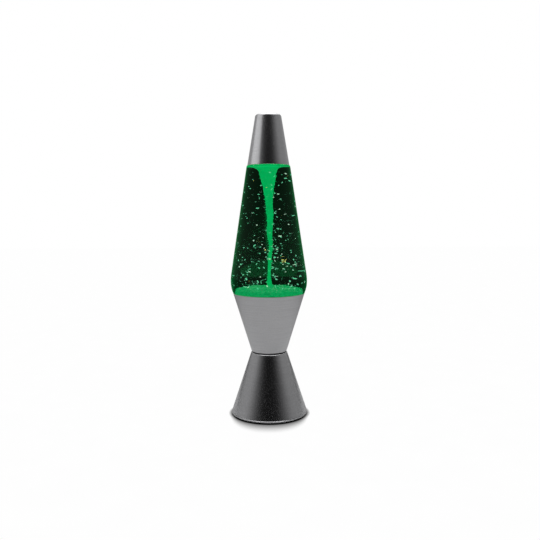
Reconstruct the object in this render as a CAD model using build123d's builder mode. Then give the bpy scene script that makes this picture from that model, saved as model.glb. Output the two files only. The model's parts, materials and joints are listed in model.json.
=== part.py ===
"""Vortex glitter lamp in the shape of a lava lamp, as an assembly of separate pieces.

A gunmetal cone stands on four rubber feet and holds three AA cells. A brushed cup on top of it holds the
motor, a ring of LEDs and a clear window. The bottle lifts out of the cup, and the cap lifts off the bottle.
The motor turns four magnets under the window, and they drag round the impeller inside the sealed bottle.

Millimetres, +Z up, origin on the table at the lamp's axis. The front is -Y, and the switch is at the back.
"""

import os
from math import atan2, cos, degrees, radians, sin, tan

from build123d import *

os.makedirs("parts", exist_ok=True)

# ---------------------------------------------------------------- driving dimensions
lamp_height = 360.0

foot_height = 2.4  # rubber below the bottom plate
foot_radius = 4.5
foot_recess = 0.6
foot_spot = (19.6, 31.4)  # |x|, |y| of each foot

base_lip_z = 1.6  # underside of the base cone
base_top_z = 76.4
base_bottom_radius = 46.4
base_top_radius = 21.7
base_wall = 1.6
bead_radius = 1.0  # rolled bead round the cone's foot
bead_groove = 0.4  # width of the groove above it
wire_hole_radius = 8.0  # up the neck, from the base into the cup

neck_gap = 1.4  # dark groove between base and cup
neck_ring_radius = 20.7

cup_bottom_radius = 21.4
cup_rim_z = 148.4
cup_rim_radius = 43.2
cup_wall = 1.2

bottle_wall = 2.6
bulge_radius = 46.1
bulge_z = 162.5
bulge_upper_arc = 60.0  # radius of the shoulder above the widest point
shoulder_radius = 25.9
shoulder_z = 300.4
shoulder_thickness = 2.0
bottle_neck_radius = 21.0
bottle_neck_bore = 18.6
bottle_neck_top_z = 312.0
spigot_play = 0.34  # between the bottle's spigot and the cup
bottle_bottom_z = 127.0
bottle_base_bore = 31.6
bottle_base_bore_z = 131.5  # top of the bored ring at the bottle's foot

cap_bottom_z = shoulder_z
cap_bottom_radius = 25.1
cap_top_radius = 15.2
cap_wall = 1.2

plate_thickness = 2.4
plate_radius = 43.3
play = 0.3  # round the loose parts

cell_radius = 7.1
cell_body_length = 49.2
cell_nub_length = 1.3
cell_pitch = 14.8
contact_thickness = 0.4
contact_height = 10.0
tab_width = 3.0
tab_top_z = 24.4  # the end contacts' solder tabs stand through the bay's ceiling
bay_half_x = 28.6
bay_half_y = 22.6
bay_wall = 1.8
bay_ceiling_z = 20.0
bay_corner = 4.0

mount_disc_z = 110.0  # underside of the motor's mounting disc
mount_disc_thickness = 2.4
mount_disc_radius = 29.3
leg_circle = 16.5
leg_radius = 2.8
post_circle = 24.0  # pillars that carry the LED board
post_radius = 2.6
board_z = 117.0
board_thickness = 1.6
board_inner_radius = 18.5
board_outer_radius = 31.0
motor_radius = 12.2
motor_height = 12.4
shaft_radius = 1.0
shaft_top_z = 121.0
window_z = 124.5
window_thickness = 2.0
led_count = 6
led_circle = 26.0
led_radius = 2.5

magnet_count = 4
magnet_circle = 11.0
impeller_radius = 16.0
impeller_z = 132.6
pin_radius = 1.25

switch_travel = 4.0
wire_radius = 0.65

# ---------------------------------------------------------------- derived dimensions
plate_z = foot_height
plate_top_z = plate_z + plate_thickness
cup_bottom_z = base_top_z + neck_gap
ledge_z = cup_rim_z  # the bottle's ledge rests on the cup's rim
board_top_z = board_z + board_thickness

base_slope = (base_bottom_radius - base_top_radius) / (base_top_z - base_lip_z)
cup_slope = (cup_rim_radius - cup_bottom_radius) / (cup_rim_z - cup_bottom_z)
cap_slope = (cap_bottom_radius - cap_top_radius) / (lamp_height - cap_bottom_z)
base_angle = degrees(atan2(base_slope, 1))
bottle_angle = degrees(atan2(bulge_radius - shoulder_radius - 0.6, shoulder_z - bulge_z - 9.0))


def base_outer(z):
    return base_bottom_radius - base_slope * (z - base_lip_z)


def base_inner(z):
    return base_outer(z) - base_wall / cos(radians(base_angle))


def cup_outer(z):
    return cup_bottom_radius + cup_slope * (z - cup_bottom_z)


def cup_inner(z):
    return cup_outer(z) - cup_wall * (1 + cup_slope**2) ** 0.5


def cap_outer(z):
    return cap_bottom_radius - cap_slope * (z - cap_bottom_z)


def cap_inner(z):
    return cap_outer(z) - cap_wall * (1 + cap_slope**2) ** 0.5


def spigot_outer(z):
    return cup_inner(z) - spigot_play


def spigot_inner(z):
    return spigot_outer(z) - bottle_wall * (1 + cup_slope**2) ** 0.5


def polar(radius, angle, z=0.0):
    return (radius * cos(radians(angle)), radius * sin(radians(angle)), z)


def finish(piece, name):
    """Labels a finished piece and writes it as parts/NAME.step."""
    piece.part.label = name
    export_step(piece.part, f"parts/{name}.step")


# ---------------------------------------------------------------- base cone
plate_screw_spots = [(36.2, 11.0), (-36.2, 11.0), (-36.2, -11.0), (36.2, -11.0)]
plate_boss_radius = 3.2
plate_pilot_radius = 1.1
neck_screw_angles = [90, 210, 330]
rear_z = 16.0
rear_plane = Plane(
    origin=(0, base_outer(rear_z), rear_z),
    x_dir=(1, 0, 0),
    z_dir=(0, cos(radians(base_angle)), sin(radians(base_angle))),
)
bezel_size = (38.0, 13.0)
bezel_corner = 4.0
bezel_proud = 0.5

# pillars and webs that tie the plate's screws to the wall, trimmed to the cone
with BuildPart() as screw_bosses:
    with BuildSketch(Plane.XY.offset(plate_top_z)):
        with Locations(*plate_screw_spots):
            Circle(plate_boss_radius)
        for x, y in plate_screw_spots:
            along = degrees(atan2(y, x))
            with Locations(Location(polar(42.0, along), along)):
                Rectangle(6.0, 1.8)
    extrude(amount=24.0)
    with BuildSketch(Plane.XZ) as cone_section:
        Polygon(
            (0, base_lip_z),
            (base_outer(base_lip_z) - 0.4, base_lip_z),
            (base_top_radius - 0.4, base_top_z),
            (0, base_top_z),
            align=None,
        )
    revolve(axis=Axis.Z, mode=Mode.INTERSECT)

bead_z = base_lip_z + bead_radius
bead_x = base_outer(bead_z) - 0.9 * bead_radius
groove_top_z = bead_z + 0.9 * bead_radius + bead_groove

with BuildPart() as base_cone:
    with BuildSketch(Plane.XZ) as base_section:
        Polygon(
            (base_outer(groove_top_z), groove_top_z),
            (base_top_radius, base_top_z),
            (wire_hole_radius, base_top_z),
            (wire_hole_radius, base_top_z - base_wall),
            (base_inner(base_top_z - base_wall), base_top_z - base_wall),
            (base_inner(bead_z), bead_z),
            (bead_x, bead_z),
            (bead_x, bead_z + 0.9 * bead_radius),
            align=None,
        )
        top_rim = base_section.vertices().group_by(Axis.Y)[-1].sort_by(Axis.X)[-1]
        fillet(top_rim, 1.5)
        with Locations((bead_x, bead_z)):
            Circle(bead_radius)
    revolve(axis=Axis.Z)
    add(screw_bosses.part)
    with BuildSketch(Plane.XY.offset(plate_top_z)):
        with Locations(*plate_screw_spots):
            Circle(plate_pilot_radius)
    extrude(amount=13.0, mode=Mode.SUBTRACT)
    with BuildSketch(Plane.XY.offset(base_top_z - base_wall)):
        with Locations(*[polar(leg_circle, a) for a in neck_screw_angles]):
            Circle(1.7)
    extrude(amount=base_wall, mode=Mode.SUBTRACT)
    with BuildSketch(rear_plane.offset(4.0)):
        RectangleRounded(bezel_size[0] + 0.2, bezel_size[1] + 0.2, bezel_corner)
    extrude(amount=-14.0, mode=Mode.SUBTRACT)
finish(base_cone, "base_cone")

# ---------------------------------------------------------------- bottom plate with battery bay
hatch_half_x = bay_half_x + 0.8
hatch_half_y = bay_half_y + 0.8
hinge_x = -hatch_half_x + play + 1.0
hinge_z = plate_z + 1.0
trunnion_radius = 0.8
trunnion_reach = 1.6

tab_spots = [(1, -cell_pitch), (-1, cell_pitch)]  # the chain's positive end, then its negative end

with BuildPart() as bottom_plate:
    with BuildSketch(Plane.XY.offset(plate_z)):
        Circle(plate_radius)
    extrude(amount=plate_thickness)
    with BuildSketch(Plane.XY.offset(plate_top_z)):
        RectangleRounded(2 * (bay_half_x + bay_wall), 2 * (bay_half_y + bay_wall), bay_corner)
    extrude(amount=bay_ceiling_z + 1.4 - plate_top_z)
    with BuildSketch(Plane.XY.offset(plate_top_z)):
        RectangleRounded(2 * bay_half_x, 2 * bay_half_y, bay_corner - bay_wall)
    extrude(amount=bay_ceiling_z - plate_top_z, mode=Mode.SUBTRACT)
    with BuildSketch(Plane.XY.offset(plate_z)):
        Rectangle(2 * hatch_half_x, 2 * hatch_half_y)
    extrude(amount=plate_thickness, mode=Mode.SUBTRACT)
    # sockets for the hatch's two trunnions
    with BuildSketch(Plane.XZ.offset(-hatch_half_y - trunnion_reach)):
        with Locations((hinge_x, hinge_z)):
            Circle(trunnion_radius + 0.06)
    extrude(amount=2 * (hatch_half_y + trunnion_reach), mode=Mode.SUBTRACT)
    # thumb hollow beside the hatch's free edge
    with BuildSketch(Plane.XY.offset(plate_z)):
        with Locations((hatch_half_x, 0)):
            Ellipse(3.6, 8.0)
    extrude(amount=1.3, mode=Mode.SUBTRACT)
    with Locations((0, 0, plate_z)):
        with Locations(*plate_screw_spots):
            CounterBoreHole(1.5, 2.8, 1.4, depth=plate_thickness)
    with BuildSketch(Plane.XY.offset(plate_z)):
        with GridLocations(2 * foot_spot[0], 2 * foot_spot[1], 2, 2):
            Circle(foot_radius + 0.1)
    extrude(amount=foot_recess, mode=Mode.SUBTRACT)
    # slits for the end contacts' tabs
    with BuildSketch(Plane.XY.offset(bay_ceiling_z)):
        for side, y in tab_spots:
            with Locations((side * (bay_half_x - contact_thickness / 2), y)):
                Rectangle(contact_thickness + 0.1, tab_width + 0.4)
    extrude(amount=1.4, mode=Mode.SUBTRACT)
finish(bottom_plate, "bottom_plate")

for number, (sx, sy) in enumerate([(-1, -1), (1, -1), (1, 1), (-1, 1)], 1):
    with BuildPart() as rubber_foot:
        with BuildSketch(Plane.XY):
            with Locations((sx * foot_spot[0], sy * foot_spot[1])):
                Circle(foot_radius)
        extrude(amount=foot_height + foot_recess)
        chamfer(rubber_foot.faces().sort_by(Axis.Z)[0].edges(), 0.5)
    finish(rubber_foot, f"rubber_foot_{number}")

# ---------------------------------------------------------------- battery hatch
hatch_thickness = 2.0
tongue_x = bay_half_x - 0.35  # outer face of the snap tongue

with BuildPart() as battery_hatch:
    with BuildSketch(Plane.XZ.offset(-hatch_half_y + play)):
        with BuildLine():
            ThreePointArc(
                (hinge_x, plate_z),
                (hinge_x - hatch_thickness / 2, hinge_z),
                (hinge_x, plate_z + hatch_thickness),
            )
            Polyline(
                (hinge_x, plate_z + hatch_thickness),
                (hatch_half_x - play, plate_z + hatch_thickness),
                (hatch_half_x - play, plate_z),
                (hinge_x, plate_z),
            )
        make_face()
    extrude(amount=2 * (hatch_half_y - play))
    # trunnions
    with BuildSketch(Plane.XZ.offset(-hatch_half_y - trunnion_reach + 0.2)):
        with Locations((hinge_x, hinge_z)):
            Circle(trunnion_radius)
    extrude(amount=2 * (hatch_half_y + trunnion_reach - 0.2))
    # snap tongue
    with BuildSketch(Plane.XY.offset(plate_z + hatch_thickness)):
        with Locations((tongue_x - 0.6, 0)):
            Rectangle(1.2, 9.0)
    extrude(amount=2.4)
    # grip grooves on the outside
    with BuildSketch(Plane.XY.offset(plate_z)):
        with Locations((hatch_half_x - 7.0, 0)):
            with GridLocations(2.6, 0, 3, 1):
                SlotOverall(16.0, 1.2, rotation=90)
    extrude(amount=0.5, mode=Mode.SUBTRACT)
finish(battery_hatch, "battery_hatch")

# ---------------------------------------------------------------- cells, springs and contacts
cell_z = plate_top_z + 0.2 + cell_radius
nub_x = bay_half_x - contact_thickness  # where a cell's positive end touches its contact
tail_x = nub_x - cell_nub_length - cell_body_length  # its flat end, towards the other wall
spring_length = nub_x + tail_x
rows = [(-cell_pitch, 1), (0.0, -1), (cell_pitch, 1)]  # y, and which way the positive end points

for number, (y, way) in enumerate(rows, 1):
    with BuildPart() as cell:
        with BuildSketch(Plane.YZ.offset(way * tail_x)):
            with Locations((y, cell_z)):
                Circle(cell_radius)
        extrude(amount=way * cell_body_length)
        fillet(cell.edges().filter_by(GeomType.CIRCLE), 0.6)
        with BuildSketch(Plane.YZ.offset(way * (nub_x - cell_nub_length))):
            with Locations((y, cell_z)):
                Circle(2.75)
        extrude(amount=way * cell_nub_length)
    finish(cell, f"battery_cell_{number}")

spring_wire = 0.35
with BuildPart() as spring:
    with BuildLine() as coil:
        Helix(
            pitch=1.7,
            height=spring_length - 2 * spring_wire,
            radius=4.6,
            center=(spring_wire, 0, 0),
            direction=(1, 0, 0),
            cone_angle=-18,
        )
    with BuildSketch(Plane(origin=coil.line @ 0, z_dir=coil.line % 0)):
        Circle(spring_wire)
    sweep(path=coil.line, is_frenet=True)

with BuildPart() as battery_springs:
    for y, way in rows:
        with Locations(Location((-way * nub_x, y, cell_z), (0, 0, 0 if way > 0 else 180))):
            add(spring.part)
finish(battery_springs, "battery_springs")

with BuildPart() as battery_contacts:
    # single plates at the two ends of the chain, and a strap across each pair between
    for side, middle, width in [(1, -cell_pitch, 11.0), (1, cell_pitch / 2, cell_pitch + 11.0),
                                (-1, -cell_pitch / 2, cell_pitch + 11.0), (-1, cell_pitch, 11.0)]:
        with BuildSketch(Plane.YZ.offset(side * nub_x)):
            with Locations((middle, cell_z)):
                RectangleRounded(width, contact_height, 1.0)
        extrude(amount=side * contact_thickness)
    for side, y in tab_spots:
        with BuildSketch(Plane.YZ.offset(side * nub_x)):
            with Locations((y, (cell_z + tab_top_z) / 2)):
                Rectangle(tab_width, tab_top_z - cell_z)
        extrude(amount=side * contact_thickness)
finish(battery_contacts, "battery_contacts")

with BuildPart() as plate_screws:
    with Locations((0, 0, plate_z + 1.4)):
        with Locations(*plate_screw_spots):
            Cylinder(2.4, 1.2, align=(Align.CENTER, Align.CENTER, Align.MAX))
            Cylinder(plate_pilot_radius - 0.05, 11.0, align=(Align.CENTER, Align.CENTER, Align.MIN))
    with Locations((0, 0, plate_z + 0.2)):
        with Locations(*plate_screw_spots):
            Box(2.6, 0.6, 1.2, mode=Mode.SUBTRACT)
            Box(0.6, 2.6, 1.2, mode=Mode.SUBTRACT)
finish(plate_screws, "plate_screws")

# ---------------------------------------------------------------- rear bezel, switch and supply socket
switch_u = -11.5  # centre of the slot, along the bezel
slot_half = 3.75
slot_height = 3.2
socket_u = 11.0
socket_barrel = 3.1

with BuildPart() as rear_bezel:
    with BuildSketch(Plane.XZ):
        Polygon(
            (base_inner(4), 4),
            (base_outer(4) + bezel_proud, 4),
            (base_outer(28) + bezel_proud, 28),
            (base_inner(28), 28),
            align=None,
        )
    revolve(axis=Axis.Z)
    with BuildSketch(rear_plane.offset(4.0)):
        RectangleRounded(bezel_size[0], bezel_size[1], bezel_corner)
    extrude(amount=-14.0, mode=Mode.INTERSECT)
    with BuildSketch(rear_plane.offset(4.0)):
        with Locations((switch_u, 0)):
            RectangleRounded(2 * slot_half, slot_height, 0.5)
        with Locations((socket_u, 0)):
            Circle(socket_barrel + 0.1)
    extrude(amount=-14.0, mode=Mode.SUBTRACT)
finish(rear_bezel, "rear_bezel")

switch_face_w = -5.9
with BuildPart() as switch_body:
    with BuildSketch(rear_plane.offset(switch_face_w)):
        with Locations((switch_u, 0)):
            RectangleRounded(12.0, 6.4, 0.6)
    extrude(amount=-5.6)
    with BuildSketch(rear_plane.offset(switch_face_w)):
        with Locations((switch_u, 0)):
            Rectangle(2 * slot_half, slot_height)
    extrude(amount=-2.0, mode=Mode.SUBTRACT)
    with BuildSketch(rear_plane.offset(switch_face_w - 5.6)):
        with Locations((switch_u, 0)):
            with GridLocations(3.6, 0, 3, 1):
                Rectangle(1.2, 0.5)
    extrude(amount=-2.4)
finish(switch_body, "switch_body")

knob_u = switch_u + switch_travel / 2  # at rest the lamp is switched on
with BuildPart() as switch_knob:
    with BuildSketch(rear_plane.offset(switch_face_w - 1.7)):
        with Locations((knob_u, 0)):
            Rectangle(3.0, 2.6)
    extrude(amount=1.7 - switch_face_w + 0.7)
    with BuildSketch(rear_plane.offset(0.7)):
        with Locations((knob_u, 0)):
            with GridLocations(1.0, 0, 2, 1):
                Rectangle(0.4, 2.6)
    extrude(amount=-0.3, mode=Mode.SUBTRACT)
finish(switch_knob, "switch_knob")

socket_depth = 9.0
with BuildPart() as supply_socket:
    with BuildSketch(rear_plane.offset(-5.5)):
        with Locations((socket_u, 0)):
            RectangleRounded(9.0, 10.0, 0.6)
    extrude(amount=-8.5)
    with BuildSketch(rear_plane.offset(-5.5)):
        with Locations((socket_u, 0)):
            Circle(socket_barrel)
    extrude(amount=5.1)
    with BuildSketch(rear_plane.offset(-0.4)):
        with Locations((socket_u, 0)):
            Circle(2.75)
    extrude(amount=-socket_depth - 1.0, mode=Mode.SUBTRACT)
finish(supply_socket, "supply_socket")

with BuildPart() as socket_pin:
    with BuildSketch(rear_plane.offset(-1.4 - socket_depth)):
        with Locations((socket_u, 0)):
            Circle(1.0)
    extrude(amount=socket_depth - 0.6)
finish(socket_pin, "socket_pin")

# ---------------------------------------------------------------- neck ring and neck screws
with BuildPart() as neck_ring:
    with BuildSketch(Plane.XY.offset(base_top_z)):
        Circle(neck_ring_radius)
        Circle(wire_hole_radius, mode=Mode.SUBTRACT)
        with Locations(*[polar(leg_circle, a) for a in neck_screw_angles]):
            Circle(1.7, mode=Mode.SUBTRACT)
    extrude(amount=neck_gap)
finish(neck_ring, "neck_ring")

neck_screw_length = 13.0
with BuildPart() as neck_screws:
    with Locations((0, 0, base_top_z - base_wall)):
        with Locations(*[polar(leg_circle, a) for a in neck_screw_angles]):
            Cylinder(2.6, 1.6, align=(Align.CENTER, Align.CENTER, Align.MAX))
            Cylinder(1.4, neck_screw_length, align=(Align.CENTER, Align.CENTER, Align.MIN))
    with Locations((0, 0, base_top_z - base_wall - 1.6)):
        with Locations(*[polar(leg_circle, a) for a in neck_screw_angles]):
            Box(3.0, 0.7, 1.4, mode=Mode.SUBTRACT)
            Box(0.7, 3.0, 1.4, mode=Mode.SUBTRACT)
finish(neck_screws, "neck_screws")

# ---------------------------------------------------------------- cup
with BuildPart() as cup:
    with BuildSketch(Plane.XZ) as cup_section:
        Polygon(
            (cup_bottom_radius, cup_bottom_z),
            (cup_rim_radius, cup_rim_z),
            (cup_inner(cup_rim_z), cup_rim_z),
            (cup_inner(cup_bottom_z + cup_wall), cup_bottom_z + cup_wall),
            (wire_hole_radius, cup_bottom_z + cup_wall),
            (wire_hole_radius, cup_bottom_z),
            align=None,
        )
        fillet(cup_section.vertices().group_by(Axis.Y)[-1], 0.4)
        fillet(cup_section.vertices().group_by(Axis.Y)[0].sort_by(Axis.X)[-1], 0.5)
    revolve(axis=Axis.Z)
    with BuildSketch(Plane.XY.offset(cup_bottom_z)):
        with Locations(*[polar(leg_circle, a) for a in neck_screw_angles]):
            Circle(1.7)
    extrude(amount=cup_wall, mode=Mode.SUBTRACT)
finish(cup, "cup")

# ---------------------------------------------------------------- motor mount, motor and drive rotor
post_angles = [30, 150, 270]
mount_top_z = mount_disc_z + mount_disc_thickness
motor_screw_x = 8.0

with BuildPart() as motor_mount:
    with BuildSketch(Plane.XY.offset(mount_disc_z)):
        Circle(mount_disc_radius)
        Circle(3.4, mode=Mode.SUBTRACT)
        with Locations((post_circle, 0), (-post_circle, 0)):
            Circle(3.4, mode=Mode.SUBTRACT)
        with Locations((motor_screw_x, 0), (-motor_screw_x, 0)):
            Circle(1.15, mode=Mode.SUBTRACT)
    extrude(amount=mount_disc_thickness)
    with BuildSketch(Plane.XY.offset(cup_bottom_z + cup_wall)):
        with Locations(*[polar(leg_circle, a) for a in neck_screw_angles]):
            Circle(leg_radius)
    extrude(amount=mount_disc_z - cup_bottom_z - cup_wall)
    with BuildSketch(Plane.XY.offset(mount_top_z)):
        with Locations(*[polar(post_circle, a) for a in post_angles]):
            Circle(post_radius)
    extrude(amount=board_z - mount_top_z)
    with BuildSketch(Plane.XY.offset(cup_bottom_z + cup_wall)):
        with Locations(*[polar(leg_circle, a) for a in neck_screw_angles]):
            Circle(1.45)
    extrude(amount=14.0, mode=Mode.SUBTRACT)
    with BuildSketch(Plane.XY.offset(board_z)):
        with Locations(*[polar(post_circle, a) for a in post_angles]):
            Circle(1.0)
    extrude(amount=-4.2, mode=Mode.SUBTRACT)
finish(motor_mount, "motor_mount")

with BuildPart() as motor_can:
    with BuildSketch(Plane.XY.offset(mount_disc_z)):
        Circle(motor_radius)
    extrude(amount=-motor_height)
    fillet(motor_can.edges().filter_by(GeomType.CIRCLE), 0.8)
    with BuildSketch(Plane.XY.offset(mount_disc_z)):
        Circle(3.2)
    extrude(amount=1.6)
    with BuildSketch(Plane.XY.offset(mount_disc_z + 1.6)):
        Circle(shaft_radius + 0.05)
    extrude(amount=-motor_height, mode=Mode.SUBTRACT)
    with BuildSketch(Plane.XY.offset(mount_disc_z)):
        with Locations((motor_screw_x, 0), (-motor_screw_x, 0)):
            Circle(0.95)
    extrude(amount=-3.0, mode=Mode.SUBTRACT)
finish(motor_can, "motor_can")

terminal_x = 5.5
with BuildPart() as motor_end_cap:
    with BuildSketch(Plane.XY.offset(mount_disc_z - motor_height)):
        Circle(8.0)
    extrude(amount=-1.2)
    with BuildSketch(Plane.XY.offset(mount_disc_z - motor_height - 1.2)):
        with Locations((terminal_x, 0), (-terminal_x, 0)):
            Rectangle(0.5, 2.2)
    extrude(amount=-2.2)
finish(motor_end_cap, "motor_end_cap")

hub_z = 114.6
hub_height = 5.6
with BuildPart() as motor_shaft:
    with BuildSketch(Plane.XY.offset(mount_disc_z - 9.0)):
        Circle(shaft_radius)
    extrude(amount=shaft_top_z - mount_disc_z + 9.0)
    chamfer(motor_shaft.edges().group_by(Axis.Z)[-1], 0.25)
finish(motor_shaft, "motor_shaft")

with BuildPart() as magnet_hub:
    with BuildSketch(Plane.XY.offset(hub_z)):
        Circle(impeller_radius)
        Circle(shaft_radius + 0.02, mode=Mode.SUBTRACT)
    extrude(amount=hub_height)
    chamfer(magnet_hub.edges().group_by(Axis.Z)[-1].sort_by(SortBy.RADIUS)[-1], 0.6)
    with BuildSketch(Plane.XY.offset(hub_z + hub_height)):
        with PolarLocations(magnet_circle, magnet_count):
            Circle(4.0)
    extrude(amount=-3.2, mode=Mode.SUBTRACT)
finish(magnet_hub, "magnet_hub")

with BuildPart() as drive_magnets:
    with BuildSketch(Plane.XY.offset(hub_z + hub_height - 3.2)):
        with PolarLocations(magnet_circle, magnet_count):
            Circle(3.95)
    extrude(amount=3.2)
finish(drive_magnets, "drive_magnets")

with BuildPart() as motor_screws:
    with Locations((motor_screw_x, 0, mount_top_z), (-motor_screw_x, 0, mount_top_z)):
        Cylinder(1.9, 1.2, align=(Align.CENTER, Align.CENTER, Align.MIN))
        Cylinder(0.9, 5.2, align=(Align.CENTER, Align.CENTER, Align.MAX))
    with Locations((motor_screw_x, 0, mount_top_z + 1.2), (-motor_screw_x, 0, mount_top_z + 1.2)):
        Box(2.4, 0.5, 1.0, mode=Mode.SUBTRACT)
        Box(0.5, 2.4, 1.0, mode=Mode.SUBTRACT)
finish(motor_screws, "motor_screws")

# ---------------------------------------------------------------- LED board, reflector and window
with BuildPart() as led_board:
    with BuildSketch(Plane.XY.offset(board_z)):
        Circle(board_outer_radius)
        Circle(board_inner_radius, mode=Mode.SUBTRACT)
        with Locations(*[polar(post_circle, a) for a in post_angles]):
            Circle(1.2, mode=Mode.SUBTRACT)
    extrude(amount=board_thickness)
finish(led_board, "led_board")

led_angles = [k * 360 / led_count for k in range(led_count)]
for number, angle in enumerate(led_angles, 1):
    with BuildPart() as led:
        with BuildSketch(Plane.XY.offset(board_top_z)):
            with Locations(polar(led_circle, angle)[:2]):
                Circle(led_radius + 0.4)
        extrude(amount=0.8)
        with BuildSketch(Plane.XY.offset(board_top_z + 0.8)):
            with Locations(polar(led_circle, angle)[:2]):
                Circle(led_radius)
        extrude(amount=4.6)
        fillet(led.edges().group_by(Axis.Z)[-1], led_radius - 0.1)
    finish(led, f"led_{number}")

with BuildPart() as board_parts:
    # one chip resistor inside each LED, and the driver chip
    for angle in led_angles:
        with Locations(Location(polar(20.6, angle, board_top_z), angle)):
            Box(1.3, 2.0, 0.6, align=(Align.CENTER, Align.CENTER, Align.MIN))
    with Locations(Location(polar(24.6, 90, board_top_z), 90)):
        Box(4.0, 5.0, 1.5, align=(Align.CENTER, Align.CENTER, Align.MIN))
finish(board_parts, "board_parts")

with BuildPart() as board_screws:
    with Locations((0, 0, board_top_z)):
        with Locations(*[polar(post_circle, a) for a in post_angles]):
            Cylinder(1.9, 1.2, align=(Align.CENTER, Align.CENTER, Align.MIN))
            Cylinder(0.95, 5.0, align=(Align.CENTER, Align.CENTER, Align.MAX))
    with Locations((0, 0, board_top_z + 1.2)):
        with Locations(*[polar(post_circle, a) for a in post_angles]):
            Box(2.4, 0.5, 1.0, mode=Mode.SUBTRACT)
            Box(0.5, 2.4, 1.0, mode=Mode.SUBTRACT)
finish(board_screws, "board_screws")

with BuildPart() as reflector_ring:
    with BuildSketch(Plane.XZ):
        Polygon(
            (29.6, board_top_z),
            (board_outer_radius, board_top_z),
            (cup_inner(window_z) - 0.6, window_z),
            (cup_inner(window_z) - 2.0, window_z),
            align=None,
        )
    revolve(axis=Axis.Z)
finish(reflector_ring, "reflector_ring")

with BuildPart() as light_window:
    with BuildSketch(Plane.XY.offset(window_z)):
        Circle(cup_inner(window_z) - 0.2)
    extrude(amount=window_thickness)
finish(light_window, "light_window")

# ---------------------------------------------------------------- wires
def wire_path(points):
    """Straight runs joined by arcs as large as the two runs at each corner allow."""
    corners = [Vector(*p) for p in points]
    radii = []
    for a, b, c in zip(corners, corners[1:], corners[2:]):
        turn = radians((b - a).get_angle(c - b))
        radii.append(0.45 * min((b - a).length, (c - b).length) / tan(turn / 2))
    return FilletPolyline(*points, radius=radii)


def behind(u, v, depth):
    """A point behind the rear bezel: u along it, v up it and a depth below the cone."""
    return tuple(rear_plane.from_local_coords(Vector(u, v, -depth)))


board_wire_y = 1.5
terminal_z = mount_disc_z - motor_height - 3.4
switch_pins = [switch_u - 3.6, switch_u, switch_u + 3.6]
pin_depth = 13.9
socket_depth_behind = 14.0

wire_routes = {
    "supply_wire_red": [
        behind(switch_pins[1], 0, pin_depth),
        behind(switch_pins[1], 0, pin_depth + 2.0),
        (-10.5, 26.2, 22.0),
        (-7.0, 15.0, 44.0),
        (-3.4, 3.0, 60.0),
        (-3.0, 0.0, 76.0),
        (-4.0, 0.0, 86.0),
        (-17.0, -1.2, 98.0),
        (-post_circle, -board_wire_y, 107.0),
        (-post_circle, -board_wire_y, board_z),
    ],
    "supply_wire_black": [
        behind(socket_u + 2.5, 0, socket_depth_behind),
        behind(socket_u + 2.5, 0, socket_depth_behind + 2.6),
        (12.0, 25.6, 22.0),
        (7.0, 15.0, 44.0),
        (3.4, 3.0, 60.0),
        (3.0, 0.0, 76.0),
        (4.0, 0.0, 86.0),
        (17.0, -1.2, 98.0),
        (post_circle, -board_wire_y, 107.0),
        (post_circle, -board_wire_y, board_z),
    ],
    "battery_wire_red": [
        (bay_half_x - contact_thickness / 2, -cell_pitch, tab_top_z),
        (bay_half_x - contact_thickness / 2, -cell_pitch, tab_top_z + 4.0),
        (6.0, 0.0, 28.5),
        (switch_pins[0], 27.2, 27.0),
        behind(switch_pins[0], 0, pin_depth + 3.0),
        behind(switch_pins[0], 0, pin_depth),
    ],
    "battery_wire_black": [
        (-bay_half_x + contact_thickness / 2, cell_pitch, tab_top_z),
        (-bay_half_x + contact_thickness / 2, cell_pitch, tab_top_z + 2.2),
        (-6.0, 12.0, 24.0),
        (socket_u - 2.5, 27.2, 24.4),
        behind(socket_u - 2.5, 0, socket_depth_behind + 3.0),
        behind(socket_u - 2.5, 0, socket_depth_behind),
    ],
    "motor_wire_red": [
        (-terminal_x, 0.0, terminal_z),
        (-terminal_x, 0.0, terminal_z - 4.0),
        (-15.5, 3.0, terminal_z + 1.0),
        (-post_circle, board_wire_y, 107.0),
        (-post_circle, board_wire_y, board_z),
    ],
    "motor_wire_black": [
        (terminal_x, 0.0, terminal_z),
        (terminal_x, 0.0, terminal_z - 4.0),
        (15.5, 3.0, terminal_z + 1.0),
        (post_circle, board_wire_y, 107.0),
        (post_circle, board_wire_y, board_z),
    ],
}
for name, route in wire_routes.items():
    with BuildPart() as wire:
        with BuildLine() as lead:
            wire_path(route)
        with BuildSketch(Plane(origin=lead.line @ 0, z_dir=lead.line % 0)):
            Circle(wire_radius)
        sweep(path=lead.line)
    finish(wire, name)

# ---------------------------------------------------------------- bottle
inner_bulge = bulge_radius - bottle_wall
inner_top_z = shoulder_z - shoulder_thickness
inner_top_radius = shoulder_radius + tan(radians(bottle_angle)) * shoulder_thickness - bottle_wall
knee_z = 146.5  # where the inner curve meets the spigot's cone

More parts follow.
